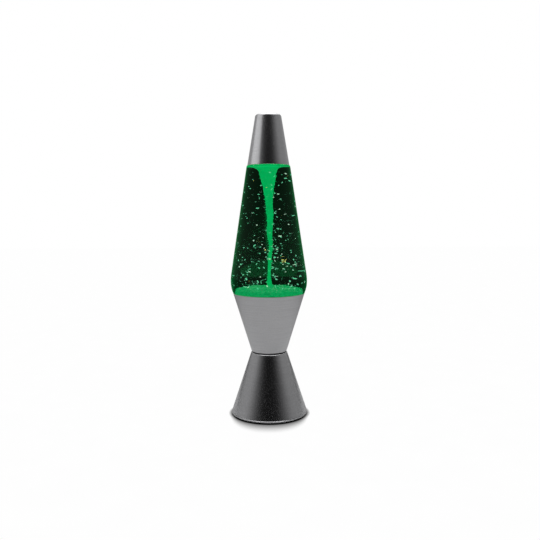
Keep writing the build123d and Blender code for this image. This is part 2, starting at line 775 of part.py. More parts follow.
with BuildPart() as bottle:
    with BuildSketch(Plane.XZ) as bottle_section:
        with BuildLine():
            ledge = Polyline(
                (bottle_base_bore, bottle_bottom_z),
                (spigot_outer(bottle_bottom_z), bottle_bottom_z),
                (spigot_outer(ledge_z), ledge_z),
                (cup_rim_radius, ledge_z),
            )
            TangentArc((bulge_radius, bulge_z), ledge @ 1, tangent=(0, -1))
            outer_arc = JernArc((bulge_radius, bulge_z), (0, 1), bulge_upper_arc, bottle_angle)
            Polyline(
                outer_arc @ 1,
                (shoulder_radius, shoulder_z),
                (bottle_neck_radius, shoulder_z),
                (bottle_neck_radius, bottle_neck_top_z),
                (bottle_neck_bore, bottle_neck_top_z),
                (bottle_neck_bore, inner_top_z),
                (inner_top_radius, inner_top_z),
            )
            inner_arc = JernArc((inner_bulge, bulge_z), (0, 1), bulge_upper_arc - bottle_wall, bottle_angle)
            Line((inner_top_radius, inner_top_z), inner_arc @ 1)
            TangentArc((inner_bulge, bulge_z), (spigot_inner(knee_z), knee_z), tangent=(0, -1))
            Polyline(
                (spigot_inner(knee_z), knee_z),
                (spigot_inner(bottle_base_bore_z), bottle_base_bore_z),
                (bottle_base_bore, bottle_base_bore_z),
                (bottle_base_bore, bottle_bottom_z),
            )
        make_face()
        fillet(bottle_section.vertices().sort_by_distance((shoulder_radius, shoulder_z))[0], 0.8)
    revolve(axis=Axis.Z)
finish(bottle, "bottle")

# ---------------------------------------------------------------- bottle base, seal and impeller
base_plug_top_z = bottle_base_bore_z - 0.3
groove_z = (bottle_bottom_z + base_plug_top_z) / 2
with BuildPart() as bottle_base:
    with BuildSketch(Plane.XZ):
        Polygon(
            (0, bottle_bottom_z),
            (bottle_base_bore - 0.1, bottle_bottom_z),
            (bottle_base_bore - 0.1, groove_z - 1.0),
            (bottle_base_bore - 1.8, groove_z - 1.0),
            (bottle_base_bore - 1.8, groove_z + 1.0),
            (bottle_base_bore - 0.1, groove_z + 1.0),
            (bottle_base_bore - 0.1, base_plug_top_z),
            (2.8, base_plug_top_z),
            (2.8, impeller_z - 0.2),
            (pin_radius + 0.02, impeller_z - 0.2),
            (pin_radius + 0.02, bottle_bottom_z + 1.2),
            (0, bottle_bottom_z + 1.2),
            align=None,
        )
    revolve(axis=Axis.Z)
finish(bottle_base, "bottle_base")

# squeezed between the groove's floor and the bottle
with BuildPart() as base_seal:
    with BuildSketch(Plane.XZ):
        with Locations((bottle_base_bore - 0.9, groove_z)):
            RectangleRounded(1.8, 1.9, 0.7)
    revolve(axis=Axis.Z)
finish(base_seal, "base_seal")

impeller_plate = 2.2
hub_top_z = impeller_z + 6.2
with BuildPart() as impeller_pin:
    with BuildSketch(Plane.XY.offset(bottle_bottom_z + 1.2)):
        Circle(pin_radius)
    extrude(amount=hub_top_z + 1.3 - bottle_bottom_z - 1.2)
    chamfer(impeller_pin.edges().group_by(Axis.Z)[-1], 0.3)
finish(impeller_pin, "impeller_pin")

blade_count = 6
with BuildPart() as impeller:
    with BuildSketch(Plane.XY.offset(impeller_z)):
        Circle(impeller_radius)
    extrude(amount=impeller_plate)
    with BuildSketch(Plane.XY.offset(impeller_z + impeller_plate)):
        Circle(3.8)
        with PolarLocations(9.0, blade_count):
            Rectangle(12.0, 1.5)
    extrude(amount=hub_top_z - impeller_z - impeller_plate)
    with BuildSketch(Plane.XY.offset(impeller_z)):
        Circle(pin_radius + 0.06)
    extrude(amount=hub_top_z - impeller_z, mode=Mode.SUBTRACT)
    with BuildSketch(Plane.XY.offset(impeller_z)):
        with PolarLocations(magnet_circle, magnet_count):
            Circle(3.4)
    extrude(amount=1.6, mode=Mode.SUBTRACT)
finish(impeller, "impeller")

with BuildPart() as impeller_magnets:
    with BuildSketch(Plane.XY.offset(impeller_z + 0.05)):
        with PolarLocations(magnet_circle, magnet_count):
            Circle(3.35)
    extrude(amount=1.5)
finish(impeller_magnets, "impeller_magnets")

with BuildPart() as pin_clip:
    with BuildSketch(Plane.XY.offset(hub_top_z + 0.25)):
        Circle(2.9)
        Circle(pin_radius + 0.02, mode=Mode.SUBTRACT)
        with Locations((2.2, 0)):
            Rectangle(2.2, 1.2, mode=Mode.SUBTRACT)
    extrude(amount=0.6)
finish(pin_clip, "pin_clip")

guard_z = 141.4
guard_radius = bottle_base_bore - 0.4
guard_thickness = 1.6
with BuildPart() as impeller_guard:
    with BuildSketch(Plane.XY.offset(guard_z)):
        Circle(guard_radius)
        Circle(6.0, mode=Mode.SUBTRACT)
        with PolarLocations(18.5, 16):
            SlotOverall(19.0, 3.0, mode=Mode.SUBTRACT)
    extrude(amount=guard_thickness)
    with BuildSketch(Plane.XY.offset(base_plug_top_z)):
        with PolarLocations(guard_radius - 1.7, 4, start_angle=45):
            Circle(1.6)
    extrude(amount=guard_z - base_plug_top_z)
finish(impeller_guard, "impeller_guard")

# ---------------------------------------------------------------- glitter water with its vortex
film = 0.1  # left between the water and the bottle
bed_bottom_z = guard_z + guard_thickness
bed_edge_z = 153.5
bed_crown = 4.2  # how far the heap's middle stands above its edge
bed_top_z = bed_edge_z + bed_crown
bed_radius = 30.6
bed_play = 0.1
water_bottom_z = bed_bottom_z + 0.2
water_top_z = inner_top_z - 0.2
water_bulge = inner_bulge - film
water_top_radius = inner_top_radius - film + 0.03
funnel_foot_z = bed_top_z + 0.8


def heap_line(gap):
    """The outline of the heap's top, from the axis to its edge and a gap outside it."""
    shoulder = (0.8 * bed_radius, bed_top_z + gap - 0.3 * bed_crown)
    crown = TangentArc((0, bed_top_z + gap), shoulder, tangent=(1, 0))
    TangentArc(shoulder, (bed_radius + gap, bed_edge_z), tangent=crown % 1)


with BuildPart() as glitter_water:
    with BuildSketch(Plane.XZ):
        with BuildLine():
            upper = JernArc((water_bulge, bulge_z), (0, 1), bulge_upper_arc - bottle_wall - film, bottle_angle)
            Line(upper @ 1, (water_top_radius, water_top_z))
            funnel = Spline(
                (water_top_radius, water_top_z),
                (10.8, 296.6),
                (6.4, 287.5),
                (4.2, 269.0),
                (2.9, 240.0),
                (1.8, 195.0),
                (1.4, funnel_foot_z),
                tangents=[(-1, -0.03), (0, -1)],
            )
            Polyline(funnel @ 1, (0, funnel_foot_z), (0, bed_top_z + bed_play))
            heap_line(bed_play)
            Polyline(
                (bed_radius + bed_play, bed_edge_z),
                (bed_radius + bed_play, water_bottom_z),
                (spigot_inner(water_bottom_z) - film, water_bottom_z),
                (spigot_inner(knee_z) - film, knee_z),
            )
            TangentArc((water_bulge, bulge_z), (spigot_inner(knee_z) - film, knee_z), tangent=(0, -1))
        make_face()
    revolve(axis=Axis.Z)
finish(glitter_water, "glitter_water")

# the glitter that gathers over the guard, as one low heap
with BuildPart() as glitter_bed:
    with BuildSketch(Plane.XZ):
        with BuildLine():
            heap_line(0)
            Polyline(
                (bed_radius, bed_edge_z),
                (bed_radius, bed_bottom_z),
                (0, bed_bottom_z),
                (0, bed_top_z),
            )
        make_face()
    revolve(axis=Axis.Z)
finish(glitter_bed, "glitter_bed")

# ---------------------------------------------------------------- stopper
stopper_plug_z = 302.5
stopper_groove_z = 307.0
stopper_radius = bottle_neck_bore - 0.15
with BuildPart() as stopper:
    with BuildSketch(Plane.XZ):
        Polygon(
            (0, stopper_plug_z + 2.4),
            (stopper_radius - 2.4, stopper_plug_z + 2.4),
            (stopper_radius - 2.4, stopper_plug_z),
            (stopper_radius, stopper_plug_z),
            (stopper_radius, stopper_groove_z - 1.0),
            (stopper_radius - 1.6, stopper_groove_z - 1.0),
            (stopper_radius - 1.6, stopper_groove_z + 1.0),
            (stopper_radius, stopper_groove_z + 1.0),
            (stopper_radius, bottle_neck_top_z),
            (bottle_neck_radius - 0.2, bottle_neck_top_z),
            (bottle_neck_radius - 0.2, bottle_neck_top_z + 2.0),
            (0, bottle_neck_top_z + 2.0),
            align=None,
        )
    revolve(axis=Axis.Z)
    # two grip wells in the top, for the tool that drives the stopper home
    with BuildSketch(Plane.XY.offset(bottle_neck_top_z + 2.0)):
        with GridLocations(18.0, 0, 2, 1):
            SlotOverall(11.0, 5.0, rotation=90)
    extrude(amount=-5.0, mode=Mode.SUBTRACT)
finish(stopper, "stopper")

with BuildPart() as stopper_seal:
    with BuildSketch(Plane.XZ):
        with Locations(((stopper_radius - 1.6 + bottle_neck_bore) / 2, stopper_groove_z)):
            RectangleRounded(bottle_neck_bore - stopper_radius + 1.6, 1.9, 0.7)
    revolve(axis=Axis.Z)
finish(stopper_seal, "stopper_seal")

# ---------------------------------------------------------------- cap and its liner
with BuildPart() as cap:
    with BuildSketch(Plane.XZ) as cap_section:
        Polygon(
            (cap_bottom_radius, cap_bottom_z),
            (cap_top_radius, lamp_height),
            (0, lamp_height),
            (0, lamp_height - cap_wall),
            (cap_inner(lamp_height - cap_wall), lamp_height - cap_wall),
            (cap_inner(cap_bottom_z), cap_bottom_z),
            align=None,
        )
        fillet(cap_section.vertices().sort_by_distance((cap_top_radius, lamp_height))[0], 2.8)
        fillet(cap_section.vertices().group_by(Axis.Y)[0].sort_by(Axis.X)[-1], 0.4)
        inner_corner = (cap_inner(lamp_height - cap_wall), lamp_height - cap_wall)
        fillet(cap_section.vertices().sort_by_distance(inner_corner)[0], 1.6)
    revolve(axis=Axis.Z)
finish(cap, "cap")

liner_z = cap_bottom_z + 0.4
liner_top_z = 309.0
with BuildPart() as cap_liner:
    with BuildSketch(Plane.XZ):
        Polygon(
            (bottle_neck_radius + 0.32, liner_z),
            (cap_inner(liner_z) - 0.05, liner_z),
            (cap_inner(liner_top_z) - 0.05, liner_top_z),
            (bottle_neck_radius + 0.32, liner_top_z),
            align=None,
        )
    revolve(axis=Axis.Z)
    # relief slots, so that the liner grips with springy fingers
    with BuildSketch(Plane.XY.offset(liner_top_z)):
        with PolarLocations(bottle_neck_radius + 0.9, 12):
            Rectangle(4.0, 1.6)
    extrude(amount=-5.0, mode=Mode.SUBTRACT)
finish(cap_liner, "cap_liner")
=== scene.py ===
import json
import random
from math import cos, hypot, pi, radians, sin, sqrt

import bpy
from mathutils import Euler, Matrix, Vector


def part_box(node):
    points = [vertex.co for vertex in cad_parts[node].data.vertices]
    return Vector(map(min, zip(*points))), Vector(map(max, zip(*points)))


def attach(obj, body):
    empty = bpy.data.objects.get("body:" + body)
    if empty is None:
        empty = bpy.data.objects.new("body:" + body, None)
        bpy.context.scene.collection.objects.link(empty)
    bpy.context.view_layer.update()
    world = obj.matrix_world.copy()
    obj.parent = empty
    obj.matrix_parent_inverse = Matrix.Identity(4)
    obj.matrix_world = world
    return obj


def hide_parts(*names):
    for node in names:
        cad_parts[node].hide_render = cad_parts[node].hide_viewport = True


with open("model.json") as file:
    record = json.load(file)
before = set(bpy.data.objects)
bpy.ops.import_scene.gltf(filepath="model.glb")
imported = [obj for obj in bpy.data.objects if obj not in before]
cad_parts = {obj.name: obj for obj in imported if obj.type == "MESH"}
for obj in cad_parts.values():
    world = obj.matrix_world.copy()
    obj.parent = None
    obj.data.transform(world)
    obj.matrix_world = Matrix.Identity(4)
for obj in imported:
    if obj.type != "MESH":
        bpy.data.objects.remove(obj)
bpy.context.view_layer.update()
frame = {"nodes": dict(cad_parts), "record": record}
print("frame loaded:", len(frame["nodes"]), "nodes")

mm = 0.001


def linear(hexText, alpha=1.0):  # sRGB hex in, the linear values that shaders take out
    def channel(pair):
        c = int(pair, 16) / 255
        return c / 12.92 if c <= 0.04045 else ((c + 0.055) / 1.055) ** 2.4
    return tuple(channel(hexText[i:i + 2]) for i in (1, 3, 5)) + (alpha,)


def addNode(tree, kind, settings=None, links=None):  # one node with its settings and its incoming links
    node = tree.nodes.new(kind)
    for key, value in (settings or {}).items():
        if isinstance(key, int) or key in node.inputs:
            node.inputs[key].default_value = value
        else:
            setattr(node, key, value)
    for key, source in (links or {}).items():
        tree.links.new(source, node.inputs[key])
    return node


def newMaterial(name):  # an empty node tree with only its output
    material = bpy.data.materials.new(name)
    material.use_nodes = True
    material.node_tree.nodes.clear()
    output = material.node_tree.nodes.new("ShaderNodeOutputMaterial")
    return material, material.node_tree, output


def patternSpace(tree, stretch=(1, 1, 1)):  # object space in millimetres: scale 1 is one wave a millimetre
    place = addNode(tree, "ShaderNodeTexCoord")
    scale = tuple(s / mm for s in stretch)
    space = addNode(tree, "ShaderNodeMapping", {"Scale": scale}, {"Vector": place.outputs["Object"]})
    return space.outputs[0]


def mixedTone(tree, dark, light, share):  # between two colours, by a pattern
    tone = addNode(tree, "ShaderNodeMix",
                   {"data_type": "RGBA", 6: linear(dark), 7: linear(light)}, {0: share})
    return tone.outputs[2]


# one function for each way of making a surface; sizes are in millimetres
flowMottle = 9.0  # waves left in a moulding by the flow of plastic
plateHaze = 3.0  # waves of haze on plate

def spunMetal(name, look):
    # sheet spun over a former, then brushed while it turns: fine rings round the axis, which stretch each
    # highlight up and down, under a lacquer with a fine grain of its own
    material, tree, output = newMaterial(name)
    place = addNode(tree, "ShaderNodeTexCoord")
    parts = addNode(tree, "ShaderNodeSeparateXYZ", None, {0: place.outputs["Object"]})
    turn = addNode(tree, "ShaderNodeMath", {"operation": "ARCTAN2"},
                   {0: parts.outputs["Y"], 1: parts.outputs["X"]})
    around = addNode(tree, "ShaderNodeMath", {"operation": "SINE"}, {0: turn.outputs[0]})
    across = addNode(tree, "ShaderNodeMath", {"operation": "COSINE"}, {0: turn.outputs[0]})
    height = addNode(tree, "ShaderNodeMath", {"operation": "MULTIPLY", 1: 1 / (look["ringPitch"] * mm)},
                     {0: parts.outputs["Z"]})
    rings = addNode(tree, "ShaderNodeCombineXYZ", None,
                    {0: around.outputs[0], 1: across.outputs[0], 2: height.outputs[0]})
    brush = addNode(tree, "ShaderNodeTexNoise", {"Scale": 1.0, "Detail": 3.0, "Roughness": 0.62},
                    {"Vector": rings.outputs[0]})
    grain = addNode(tree, "ShaderNodeTexNoise",
                    {"Scale": 1 / look["grain"], "Detail": 2.0, "Roughness": 0.7},
                    {"Vector": patternSpace(tree)})
    both = addNode(tree, "ShaderNodeMix", {"data_type": "FLOAT", 0: look["grainShare"]},
                   {2: brush.outputs["Fac"], 3: grain.outputs["Fac"]})
    tone = addNode(tree, "ShaderNodeValToRGB", None, {0: both.outputs[0]})
    tone.color_ramp.elements[0].position, tone.color_ramp.elements[1].position = look["spread"]
    tone.color_ramp.elements[0].color = linear(look["dark"])
    tone.color_ramp.elements[1].color = linear(look["light"])
    rough = addNode(tree, "ShaderNodeMapRange", {"To Min": look["rough"][0], "To Max": look["rough"][1]},
                    {"Value": both.outputs[0]})
    bump = addNode(tree, "ShaderNodeBump", {"Strength": look["bump"], "Distance": 0.02 * mm},
                   {"Height": both.outputs[0]})
    tangent = addNode(tree, "ShaderNodeTangent", {"direction_type": "RADIAL", "axis": "Z"})
    shader = addNode(tree, "ShaderNodeBsdfPrincipled", {"Metallic": 1.0, "Anisotropic": look["brushed"]},
                     {"Base Color": tone.outputs[0], "Roughness": rough.outputs[0],
                      "Normal": bump.outputs[0], "Tangent": tangent.outputs[0]})
    tree.links.new(shader.outputs[0], output.inputs["Surface"])
    return material


def mouldedPlastic(name, look):
    # moulded against a spark-eroded tool: an even fine grain in the skin, and a slight flow mottle
    material, tree, output = newMaterial(name)
    space = patternSpace(tree)
    grain = addNode(tree, "ShaderNodeTexNoise",
                    {"Scale": 1 / look["grain"], "Detail": 2.0}, {"Vector": space})
    flow = addNode(tree, "ShaderNodeTexNoise", {"Scale": 1 / flowMottle, "Detail": 3.0}, {"Vector": space})
    tone = mixedTone(tree, look["dark"], look["light"], flow.outputs["Fac"])
    rough = addNode(tree, "ShaderNodeMapRange", {"To Min": look["rough"][0], "To Max": look["rough"][1]},
                    {"Value": grain.outputs["Fac"]})
    bump = addNode(tree, "ShaderNodeBump", {"Strength": look["bump"], "Distance": 0.03 * mm},
                   {"Height": grain.outputs["Fac"]})
    shader = addNode(tree, "ShaderNodeBsdfPrincipled", {"IOR": look["ior"]},
                     {"Base Color": tone, "Roughness": rough.outputs[0], "Normal": bump.outputs[0]})
    tree.links.new(shader.outputs[0], output.inputs["Surface"])
    return material


def platedMetal(name, look):
    # bright electroplate or bare turned steel: even, with a faint spangle from the crystals
    material, tree, output = newMaterial(name)
    space = patternSpace(tree)
    spangle = addNode(tree, "ShaderNodeTexVoronoi", {"Scale": 1 / look["spangle"]}, {"Vector": space})
    haze = addNode(tree, "ShaderNodeTexNoise", {"Scale": 1 / plateHaze, "Detail": 4.0}, {"Vector": space})
    tone = mixedTone(tree, look["dark"], look["light"], haze.outputs["Fac"])
    rough = addNode(tree, "ShaderNodeMapRange", {"To Min": look["rough"][0], "To Max": look["rough"][1]},
                    {"Value": spangle.outputs["Distance"]})
    shader = addNode(tree, "ShaderNodeBsdfPrincipled", {"Metallic": 1.0},
                     {"Base Color": tone, "Roughness": rough.outputs[0]})
    tree.links.new(shader.outputs[0], output.inputs["Surface"])
    return material


def clearBody(name, look):
    # glass, acrylic or water: clear and smooth, with a tint that deepens along the light's way through it
    material, tree, output = newMaterial(name)
    # the emission set here is a painted glow, standing in for the LEDs' light inside the body
    shader = addNode(tree, "ShaderNodeBsdfPrincipled",
                     {"Base Color": linear(look["skin"]), "Roughness": look["rough"], "IOR": look["ior"],
                      "Transmission Weight": 1.0, "Emission Color": linear(look["glow"]),
                      "Emission Strength": look["paintedGlowLevel"]})
    if "ripple" in look:  # blown in a mould: a slight unevenness is left in the wall
        wave = addNode(tree, "ShaderNodeTexNoise", {"Scale": 1 / look["ripple"], "Detail": 1.0},
                       {"Vector": patternSpace(tree)})
        bump = addNode(tree, "ShaderNodeBump", {"Strength": 0.08, "Distance": 0.05 * mm},
                       {"Height": wave.outputs["Fac"]})
        tree.links.new(bump.outputs[0], shader.inputs["Normal"])
    if "edge" in look:
        # the LEDs' light runs up inside the wall, given as a painted glow: painted where the wall is seen
        # edge on, and painted in a band where it leaves the wall at the shoulder
        rim = addNode(tree, "ShaderNodeLayerWeight", {"Blend": 0.5})
        edgeOnPaintedGlow = addNode(tree, "ShaderNodeMath", {"operation": "POWER", 1: look["edge"]},
                        {0: rim.outputs["Facing"]})
        across, along = look["streak"]
        streak = addNode(tree, "ShaderNodeTexNoise", {"Scale": 1.0, "Detail": 3.0},
                         {"Vector": patternSpace(tree, (1 / across, 1 / across, 1 / along))})
        low, high = look["uneven"]
        uneven = addNode(tree, "ShaderNodeMapRange",
                         {"From Min": 0.3, "From Max": 0.7, "To Min": low, "To Max": high},
                         {"Value": streak.outputs["Fac"]})
        wall = addNode(tree, "ShaderNodeMath", {"operation": "MULTIPLY"},
                       {0: edgeOnPaintedGlow.outputs[0], 1: uneven.outputs[0]})
        wall = addNode(tree, "ShaderNodeMath", {"operation": "MULTIPLY", 1: look["edgeLevel"]},
                       {0: wall.outputs[0]})
        place = addNode(tree, "ShaderNodeTexCoord")
        parts = addNode(tree, "ShaderNodeSeparateXYZ", None, {0: place.outputs["Object"]})
        from0, from1, to0, to1 = [look["shoulder"] + step * mm for step in look["band"]]
        rise = addNode(tree, "ShaderNodeMapRange",
                       {"interpolation_type": "SMOOTHSTEP", "From Min": from0, "From Max": from1,
                        "To Max": look["paintedShoulderGlow"]}, {"Value": parts.outputs["Z"]})
        fall = addNode(tree, "ShaderNodeMapRange",
                       {"interpolation_type": "SMOOTHSTEP", "From Min": to0, "From Max": to1,
                        "To Min": 1.0, "To Max": look["paintedNeckGlowShare"]}, {"Value": parts.outputs["Z"]})
        top = addNode(tree, "ShaderNodeMath", {"operation": "MULTIPLY"},
                      {0: rise.outputs[0], 1: fall.outputs[0]})
        glow = addNode(tree, "ShaderNodeMath", {"operation": "ADD"}, {0: wall.outputs[0], 1: top.outputs[0]})
        tree.links.new(glow.outputs[0], shader.inputs["Emission Strength"])
    tree.links.new(shader.outputs[0], output.inputs["Surface"])
    inside = addNode(tree, "ShaderNodeVolumeAbsorption",
                     {"Color": linear(look["tint"]), "Density": look["density"]})
    tree.links.new(inside.outputs[0], output.inputs["Volume"])
    return material


def litSurface(name, look):
    # something that shines with the LEDs' light: a painted glow, mottled, over a little gloss; only on the
    # LED lenses is the glow their own light
    material, tree, output = newMaterial(name)
    mottle = addNode(tree, "ShaderNodeTexNoise",
                     {"Scale": 1 / look["mottle"], "Detail": 3.0, "Roughness": 0.6},
                     {"Vector": patternSpace(tree)})
    tone = addNode(tree, "ShaderNodeValToRGB", None, {0: mottle.outputs["Fac"]})
    tone.color_ramp.elements[0].position, tone.color_ramp.elements[1].position = look["spread"]
    tone.color_ramp.elements[0].color = linear(look["dark"])
    tone.color_ramp.elements[1].color = linear(look["light"])
    shader = addNode(tree, "ShaderNodeBsdfPrincipled",
                     {"Base Color": linear(look["body"]), "Roughness": look["rough"],
                      "Emission Strength": look["glow"]},
                     {"Emission Color": tone.outputs[0]})
    tree.links.new(shader.outputs[0], output.inputs["Surface"])
    return material


def circuitBoard(name, look):
    # glass epoxy under green solder mask: lighter where a copper track lies below it
    material, tree, output = newMaterial(name)
    space = patternSpace(tree)
    track = addNode(tree, "ShaderNodeTexBrick",
                    {"Scale": 1 / look["trackPitch"], "Mortar Size": 0.05, "Color1": linear(look["mask"]),
                     "Color2": linear(look["mask"]), "Mortar": linear(look["track"])}, {"Vector": space})
    weave = addNode(tree, "ShaderNodeTexNoise", {"Scale": 2.0}, {"Vector": space})
    rough = addNode(tree, "ShaderNodeMapRange", {"To Min": 0.25, "To Max": 0.4},
                    {"Value": weave.outputs["Fac"]})
    shader = addNode(tree, "ShaderNodeBsdfPrincipled", {"IOR": 1.55},
                     {"Base Color": track.outputs["Color"], "Roughness": rough.outputs[0]})
    tree.links.new(shader.outputs[0], output.inputs["Surface"])
    return material


def cellSleeve(name, look):
    # shrunk film round a cell: dark, with one copper-coloured band at the positive end of the pack
    material, tree, output = newMaterial(name)
    place = addNode(tree, "ShaderNodeTexCoord")
    parts = addNode(tree, "ShaderNodeSeparateXYZ", None, {0: place.outputs["Object"]})
    band = addNode(tree, "ShaderNodeMath", {"operation": "GREATER_THAN", 1: look["bandFrom"] * mm},
                   {0: parts.outputs["X"]})
    film = addNode(tree, "ShaderNodeTexNoise", {"Scale": 1 / 6.0}, {"Vector": patternSpace(tree)})
    tone = mixedTone(tree, look["sleeve"], look["band"], band.outputs[0])
    rough = addNode(tree, "ShaderNodeMapRange", {"To Min": 0.2, "To Max": 0.35},
                    {"Value": film.outputs["Fac"]})
    shader = addNode(tree, "ShaderNodeBsdfPrincipled", {"IOR": 1.53, "Coat Weight": 0.5},
                     {"Base Color": tone, "Roughness": rough.outputs[0]})
    tree.links.new(shader.outputs[0], output.inputs["Surface"])
    return material


# real brush rings are 0.1 mm apart; drawn at 0.6 so that they show
gunmetal = spunMetal("smokeLacqueredSpunAluminium", {
    "dark": "#aeaeb0", "light": "#cfcfd1", "spread": (0.32, 0.68),
    "ringPitch": 0.6, "grain": 0.9, "grainShare": 0.7,
    "rough": (0.19, 0.28), "bump": 0.11, "brushed": 0.3})
cupMetal = spunMetal("brushedSpunAluminium", {
    "dark": "#c3c3c5", "light": "#d8d8da", "spread": (0.32, 0.68),
    "ringPitch": 0.6, "grain": 1.1, "grainShare": 0.45,
    "rough": (0.32, 0.42), "bump": 0.14, "brushed": 0.4})
blackAbs = mouldedPlastic("matBlackAbs", {
    "dark": "#131314", "light": "#1c1c1e", "grain": 0.35, "rough": (0.48, 0.62), "bump": 0.5, "ior": 1.54})
knobAbs = mouldedPlastic("satinBlackAbs", {
    "dark": "#232325", "light": "#2e2e30", "grain": 0.2, "rough": (0.3, 0.42), "bump": 0.2, "ior": 1.54})
greyAbs = mouldedPlastic("greyAbs", {
    "dark": "#6c6e71", "light": "#7d7f82", "grain": 0.3, "rough": (0.42, 0.55), "bump": 0.3, "ior": 1.54})
whiteAbs = mouldedPlastic("whiteAbs", {
    "dark": "#dcdfdb", "light": "#eceeea", "grain": 0.2, "rough": (0.28, 0.4), "bump": 0.15, "ior": 1.54})
siliconeRubber = mouldedPlastic("blackSiliconeRubber", {
    "dark": "#161616", "light": "#212121", "grain": 0.25, "rough": (0.7, 0.85), "bump": 0.4, "ior": 1.43})
redPvc = mouldedPlastic("redPvcInsulation", {
    "dark": "#a01414", "light": "#b81a18", "grain": 0.4, "rough": (0.38, 0.5), "bump": 0.1, "ior": 1.53})
blackPvc = mouldedPlastic("blackPvcInsulation", {
    "dark": "#101011", "light": "#1a1a1b", "grain": 0.4, "rough": (0.38, 0.5), "bump": 0.1, "ior": 1.53})
epoxyChip = mouldedPlastic("mouldedEpoxyChip", {
    "dark": "#121213", "light": "#1d1d1f", "grain": 0.1, "rough": (0.5, 0.62), "bump": 0.2, "ior": 1.55})
nickel = platedMetal("brightNickelPlate", {
    "dark": "#c9c4ba", "light": "#ddd8ce", "spangle": 0.6, "rough": (0.12, 0.24)})
zinc = platedMetal("zincPlatedSteel", {
    "dark": "#b4b4b0", "light": "#cacac6", "spangle": 1.2, "rough": (0.25, 0.4)})
magnetPlate = platedMetal("nickelPlatedMagnet", {
    "dark": "#a6a7a9", "light": "#bbbcbe", "spangle": 0.9, "rough": (0.18, 0.3)})
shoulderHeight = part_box("cap")[0].z  # the cap stands on the bottle's shoulder
bottleGlass = clearBody("blownSodaLimeGlass", {
    "skin": "#ffffff", "rough": 0.0, "ior": 1.50, "ripple": 26.0, "tint": "#b6ecc8", "density": 12.0,
    "glow": "#00b85c", "paintedGlowLevel": 0.0,
    # painted glow on the glass: where it is seen edge on, and at the shoulder
    "edge": 4.5, "edgeLevel": 0.55, "streak": (2.5, 30), "uneven": (0.35, 1.3),
    "shoulder": shoulderHeight, "band": (-3.0, -1.4, 0.1, 4.0), "paintedShoulderGlow": 0.2, "paintedNeckGlowShare": 0.15})
tintedWater = clearBody("greenTintedWater", {  # dye, and a faint painted glow for stray light: never quite black
    "skin": "#ffffff", "rough": 0.0, "ior": 1.33, "tint": "#58d890", "density": 1.5,
    "glow": "#1a5e34", "paintedGlowLevel": 0.03})
# the acrylic window's glow is painted: it stands in for the LEDs' light shining through it
clearAcrylic = clearBody("clearCastAcrylic", {
    "skin": "#f4fff8", "rough": 0.04, "ior": 1.49, "tint": "#bfeccf", "density": 20.0,
    "glow": "#00b85c", "paintedGlowLevel": 0.1})
boardMask = circuitBoard("solderMaskedGlassEpoxy", {"mask": "#0b4a24", "track": "#17703a", "trackPitch": 2.5})
cellFilm = cellSleeve("shrunkCellSleeve", {"sleeve": "#1a2026", "band": "#b06a34", "bandFrom": 12.0})
ledEpoxy = litSurface("greenLedEpoxy", {
    "body": "#0c7a3c", "dark": "#00b452", "light": "#2ee884", "mottle": 1.5, "spread": (0.35, 0.65),
    "rough": 0.15, "glow": 1.6})
# the whirl's wall turns all the LEDs' light to the eye: a painted glow, flat and full
whirlFilm = litSurface("litAirAndWater", {
    "body": "#02301a", "dark": "#00a854", "light": "#00b45c", "mottle": 6.0, "spread": (0.3, 0.7),
    "rough": 0.35, "glow": 1.0})
# painted glow: the heap's light from the LEDs below
bedFlakes = litSurface("litGlitterBed", {
    "body": "#063a20", "dark": "#008a47", "light": "#0fae60", "mottle": 2.6, "spread": (0.32, 0.72),
    "rough": 0.4, "glow": 1.0})
# the flakes' glow is painted: it stands in for the LEDs' light they catch
greenFoil = litSurface("greenPolyesterFoil", {
    "body": "#3c9a70", "dark": "#3cac7c", "light": "#80e0b4", "mottle": 1.2, "spread": (0.3, 0.7),
    "rough": 0.25, "glow": 1.0})
paleFoil = litSurface("silverPolyesterFoil", {
    "body": "#a8c8b4", "dark": "#98d0ae", "light": "#d4ecd8", "mottle": 1.2, "spread": (0.3, 0.7),
    "rough": 0.2, "glow": 1.0})
goldFoil = litSurface("goldPolyesterFoil", {
    "body": "#b8a040", "dark": "#c8c044", "light": "#f0ec98", "mottle": 1.2, "spread": (0.3, 0.7),
    "rough": 0.2, "glow": 1.0})

finishes = {
    "gunmetal": gunmetal, "brushed_aluminium": cupMetal, "black_plastic": blackAbs, "knob_plastic": knobAbs,
    "grey_plastic": greyAbs, "white_plastic": whiteAbs, "rubber": siliconeRubber, "bottle_glass": bottleGlass,
    "glitter_water": tintedWater, "glitter": bedFlakes, "clear_acrylic": clearAcrylic, "cell_wrap": cellFilm,
    "nickel": nickel, "zinc_steel": zinc, "magnet": magnetPlate, "board": boardMask, "chip": epoxyChip,
    "led_lens": ledEpoxy, "wire_red": redPvc, "wire_black": blackPvc,
}
for entry in frame["record"]["subparts"]:
    node = frame["nodes"][entry["node"]]
    node.data.materials.clear()
    node.data.materials.append(finishes[entry["material_slot"]])
print("materials given to the frame's nodes")


def addPiece(name, verts, faces, material, body, slot, smooth=True):  # a finished mesh that rides on a body
    mesh = bpy.data.meshes.new(name)
    mesh.from_pydata(verts, [], faces)
    mesh.validate()
    mesh.polygons.foreach_set("use_smooth", [smooth] * len(mesh.polygons))
    mesh.materials.append(material)
    piece = bpy.data.objects.new(name, mesh)
    bpy.context.scene.collection.objects.link(piece)
    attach(piece, body)
    return piece


